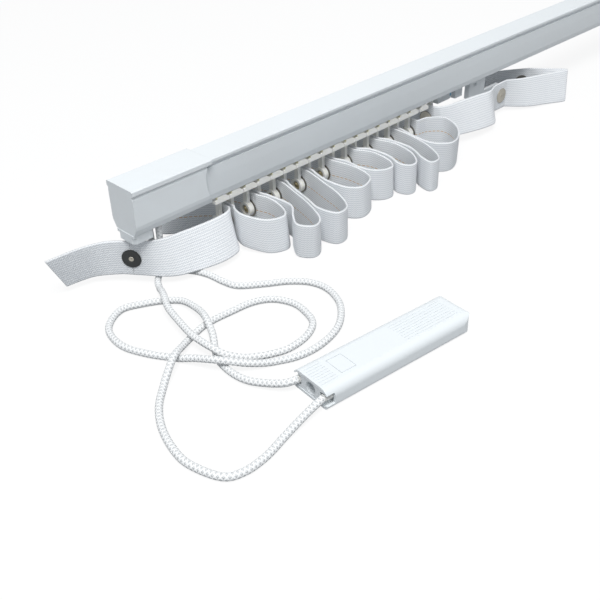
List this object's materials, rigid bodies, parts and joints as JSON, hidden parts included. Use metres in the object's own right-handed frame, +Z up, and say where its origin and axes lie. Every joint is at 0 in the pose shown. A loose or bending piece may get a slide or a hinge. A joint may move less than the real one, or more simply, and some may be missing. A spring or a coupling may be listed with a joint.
{
  "type": "corded curtain track",
  "caption": "Corded curtain track with a stack of snap carriers holding a folded heading tape, a drive end with free cord legs, and a cord weight.",
  "frame": {"origin": "centre of the bounding box on the surface the part stands on, the free cord and its weight left out", "axes": "+X along the track from the drive end to the return end, +Z up, the cord weight lies on the -Y side"},
  "size_m": [0.7929, 0.2189, 0.0653],
  "materials": {
    "coated_aluminium": "white powder coat with a soft satin sheen over an extruded aluminium profile",
    "white_plastic": "moulded white plastic, fine satin",
    "ivory_resin": "slightly warm white moulded acetal resin, satin",
    "steel": "plain ground steel",
    "braided_cord": "white braided polyester cord",
    "woven_tape": "white ribbed herringbone webbing",
    "plated_snap": "nickel-plated brass press studs, slightly tarnished"
  },
  "bodies": {
    "track_body": {"track": "coated_aluminium", "drive_end_cap": "white_plastic", "pulley_block": "white_plastic", "drive_sheave_pin": "steel", "return_end_cap": "white_plastic", "return_block": "white_plastic", "return_sheave_pin": "steel", "cord_track_run": "braided_cord", "cord_leg_front": "braided_cord", "cord_leg_rear": "braided_cord", "cord_weight_run": "braided_cord", "weight_body": "white_plastic", "weight_insert": "white_plastic", "weight_sheave_pin": "steel", "ballast_rod": "steel", "tape": "woven_tape", "fixed_snap": "plated_snap"},
    "master": {"master_carrier": "ivory_resin", "cord_clamp": "white_plastic", "lead_arm": "white_plastic", "master_snap": "plated_snap", "lead_snaps": "plated_snap"},
    "front_sheave": {"drive_sheave_front": "ivory_resin"},
    "rear_sheave": {"drive_sheave_rear": "ivory_resin"},
    "far_sheave": {"return_sheave": "ivory_resin"},
    "weight_wheel": {"weight_sheave": "ivory_resin"},
    "hanger_01": {"carrier_01": "ivory_resin", "snap_01": "plated_snap"},
    "hanger_02": {"carrier_02": "ivory_resin", "snap_02": "plated_snap"},
    "hanger_03": {"carrier_03": "ivory_resin", "snap_03": "plated_snap"},
    "hanger_04": {"carrier_04": "ivory_resin", "snap_04": "plated_snap"},
    "hanger_05": {"carrier_05": "ivory_resin", "snap_05": "plated_snap"},
    "hanger_06": {"carrier_06": "ivory_resin", "snap_06": "plated_snap"},
    "hanger_07": {"carrier_07": "ivory_resin", "snap_07": "plated_snap"},
    "hanger_08": {"carrier_08": "ivory_resin", "snap_08": "plated_snap"},
    "hanger_09": {"carrier_09": "ivory_resin", "snap_09": "plated_snap"},
    "hanger_10": {"carrier_10": "ivory_resin", "snap_10": "plated_snap"},
    "hanger_11": {"carrier_11": "ivory_resin", "snap_11": "plated_snap"},
    "hanger_12": {"carrier_12": "ivory_resin", "snap_12": "plated_snap"},
    "hanger_13": {"carrier_13": "ivory_resin", "snap_13": "plated_snap"},
    "hanger_14": {"carrier_14": "ivory_resin", "snap_14": "plated_snap"},
    "hanger_15": {"carrier_15": "ivory_resin", "snap_15": "plated_snap"},
    "hanger_16": {"carrier_16": "ivory_resin", "snap_16": "plated_snap"},
    "hanger_17": {"carrier_17": "ivory_resin", "snap_17": "plated_snap"}
  },
  "joints": [
    {"name": "draw", "type": "slide", "parent": "track_body", "child": "master", "axis": [1, 0, 0], "range_m": [0, 0.33], "deforming": ["tape"]},
    {"name": "hanger_01_slide", "type": "slide", "parent": "track_body", "child": "hanger_01", "axis": [1, 0, 0], "range_m": [0, 0.01833]},
    {"name": "hanger_02_slide", "type": "slide", "parent": "track_body", "child": "hanger_02", "axis": [1, 0, 0], "range_m": [0, 0.03667]},
    {"name": "hanger_03_slide", "type": "slide", "parent": "track_body", "child": "hanger_03", "axis": [1, 0, 0], "range_m": [0, 0.055]},
    {"name": "hanger_04_slide", "type": "slide", "parent": "track_body", "child": "hanger_04", "axis": [1, 0, 0], "range_m": [0, 0.07333]},
    {"name": "hanger_05_slide", "type": "slide", "parent": "track_body", "child": "hanger_05", "axis": [1, 0, 0], "range_m": [0, 0.09167]},
    {"name": "hanger_06_slide", "type": "slide", "parent": "track_body", "child": "hanger_06", "axis": [1, 0, 0], "range_m": [0, 0.11]},
    {"name": "hanger_07_slide", "type": "slide", "parent": "track_body", "child": "hanger_07", "axis": [1, 0, 0], "range_m": [0, 0.12833]},
    {"name": "hanger_08_slide", "type": "slide", "parent": "track_body", "child": "hanger_08", "axis": [1, 0, 0], "range_m": [0, 0.14667]},
    {"name": "hanger_09_slide", "type": "slide", "parent": "track_body", "child": "hanger_09", "axis": [1, 0, 0], "range_m": [0, 0.165]},
    {"name": "hanger_10_slide", "type": "slide", "parent": "track_body", "child": "hanger_10", "axis": [1, 0, 0], "range_m": [0, 0.18333]},
    {"name": "hanger_11_slide", "type": "slide", "parent": "track_body", "child": "hanger_11", "axis": [1, 0, 0], "range_m": [0, 0.20167]},
    {"name": "hanger_12_slide", "type": "slide", "parent": "track_body", "child": "hanger_12", "axis": [1, 0, 0], "range_m": [0, 0.22]},
    {"name": "hanger_13_slide", "type": "slide", "parent": "track_body", "child": "hanger_13", "axis": [1, 0, 0], "range_m": [0, 0.23833]},
    {"name": "hanger_14_slide", "type": "slide", "parent": "track_body", "child": "hanger_14", "axis": [1, 0, 0], "range_m": [0, 0.25667]},
    {"name": "hanger_15_slide", "type": "slide", "parent": "track_body", "child": "hanger_15", "axis": [1, 0, 0], "range_m": [0, 0.275]},
    {"name": "hanger_16_slide", "type": "slide", "parent": "track_body", "child": "hanger_16", "axis": [1, 0, 0], "range_m": [0, 0.29333]},
    {"name": "hanger_17_slide", "type": "slide", "parent": "track_body", "child": "hanger_17", "axis": [1, 0, 0], "range_m": [0, 0.31167]},
    {"name": "front_sheave_turn", "type": "hinge", "parent": "track_body", "child": "front_sheave", "pos_m": [-0.31365, -0.0006, 0.046], "axis": [0, 1, 0], "continuous": true},
    {"name": "rear_sheave_turn", "type": "hinge", "parent": "track_body", "child": "rear_sheave", "pos_m": [-0.31365, 0.0086, 0.046], "axis": [0, 1, 0], "continuous": true},
    {"name": "far_sheave_turn", "type": "hinge", "parent": "track_body", "child": "far_sheave", "pos_m": [0.36545, 0.004, 0.0515], "axis": [0, 0, 1], "continuous": true},
    {"name": "weight_wheel_turn", "type": "hinge", "parent": "track_body", "child": "weight_wheel", "pos_m": [-0.25192, -0.15334, 0.00575], "axis": [0, 0, 1], "continuous": true}
  ],
  "couplings": [
    {"joint": "hanger_01_slide", "follows": "draw", "ratio": 0.055556},
    {"joint": "hanger_02_slide", "follows": "draw", "ratio": 0.11111},
    {"joint": "hanger_03_slide", "follows": "draw", "ratio": 0.16667},
    {"joint": "hanger_04_slide", "follows": "draw", "ratio": 0.22222},
    {"joint": "hanger_05_slide", "follows": "draw", "ratio": 0.27778},
    {"joint": "hanger_06_slide", "follows": "draw", "ratio": 0.33333},
    {"joint": "hanger_07_slide", "follows": "draw", "ratio": 0.38889},
    {"joint": "hanger_08_slide", "follows": "draw", "ratio": 0.44444},
    {"joint": "hanger_09_slide", "follows": "draw", "ratio": 0.5},
    {"joint": "hanger_10_slide", "follows": "draw", "ratio": 0.55556},
    {"joint": "hanger_11_slide", "follows": "draw", "ratio": 0.61111},
    {"joint": "hanger_12_slide", "follows": "draw", "ratio": 0.66667},
    {"joint": "hanger_13_slide", "follows": "draw", "ratio": 0.72222},
    {"joint": "hanger_14_slide", "follows": "draw", "ratio": 0.77778},
    {"joint": "hanger_15_slide", "follows": "draw", "ratio": 0.83333},
    {"joint": "hanger_16_slide", "follows": "draw", "ratio": 0.88889},
    {"joint": "hanger_17_slide", "follows": "draw", "ratio": 0.94444},
    {"joint": "front_sheave_turn", "follows": "draw", "rad_per_m": 181.82},
    {"joint": "rear_sheave_turn", "follows": "draw", "rad_per_m": -181.82},
    {"joint": "far_sheave_turn", "follows": "draw", "rad_per_m": 217.39},
    {"joint": "weight_wheel_turn", "follows": "draw", "rad_per_m": -104.17}
  ]
}
